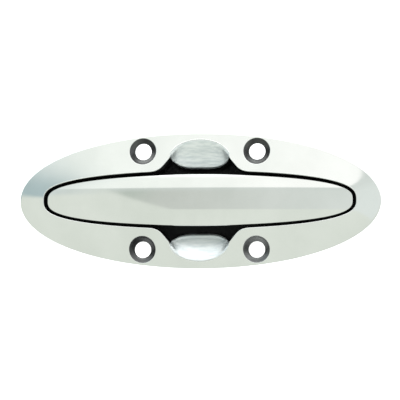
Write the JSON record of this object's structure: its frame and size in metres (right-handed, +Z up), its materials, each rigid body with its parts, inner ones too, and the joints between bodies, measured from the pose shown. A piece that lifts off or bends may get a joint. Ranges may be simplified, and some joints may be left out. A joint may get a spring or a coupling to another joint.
{
  "type": "flush pull-up deck cleat",
  "caption": "Flush pull-up deck cleat: a horn bar on posts lifts out of an oval stainless flange with finger scoops, above a moulded drain cup with a hose tail.",
  "frame": {"origin": "centre of the flange on the deck plane, where the flange underside rests on the deck", "axes": "+X along the horn bar towards the drain hose tail, +Y across the flange, +Z up out of the deck"},
  "size_m": [0.181, 0.0684, 0.1035],
  "materials": {
    "polished_steel": "mirror-polished 316 stainless steel casting",
    "turned_steel": "turned or stamped stainless steel, satin",
    "black_nylon": "glass-filled nylon, moulded, matt",
    "black_rubber": "moulded nitrile or EPDM rubber",
    "acetal": "natural acetal, machined"
  },
  "bodies": {
    "housing": {"deck_plate": "polished_steel", "drain_cup": "black_nylon", "cup_gasket": "black_rubber", "cup_screw_1": "turned_steel", "cup_screw_2": "turned_steel", "cup_screw_3": "turned_steel", "cup_screw_4": "turned_steel", "cup_screw_5": "turned_steel", "cup_screw_6": "turned_steel", "drain_seal": "black_rubber", "drain_barb": "black_nylon", "post_seal_left": "black_rubber", "post_bush_left": "acetal", "friction_pad_left": "acetal", "friction_spring_left": "turned_steel", "friction_screw_left": "turned_steel", "horn_rest_pad_left": "black_rubber", "post_seal_right": "black_rubber", "post_bush_right": "acetal", "friction_pad_right": "acetal", "friction_spring_right": "turned_steel", "friction_screw_right": "turned_steel", "horn_rest_pad_right": "black_rubber"},
    "cleat": {"horn_bar": "polished_steel", "yoke_plate": "turned_steel", "post_left": "polished_steel", "stop_bumper_left": "black_rubber", "yoke_screw_left": "turned_steel", "lock_washer_left": "turned_steel", "post_right": "polished_steel", "stop_bumper_right": "black_rubber", "yoke_screw_right": "turned_steel", "lock_washer_right": "turned_steel"}
  },
  "joints": [
    {"name": "cleat_lift", "type": "slide", "parent": "housing", "child": "cleat", "axis": [0, 0, 1], "range_m": [0, 0.036]}
  ]
}
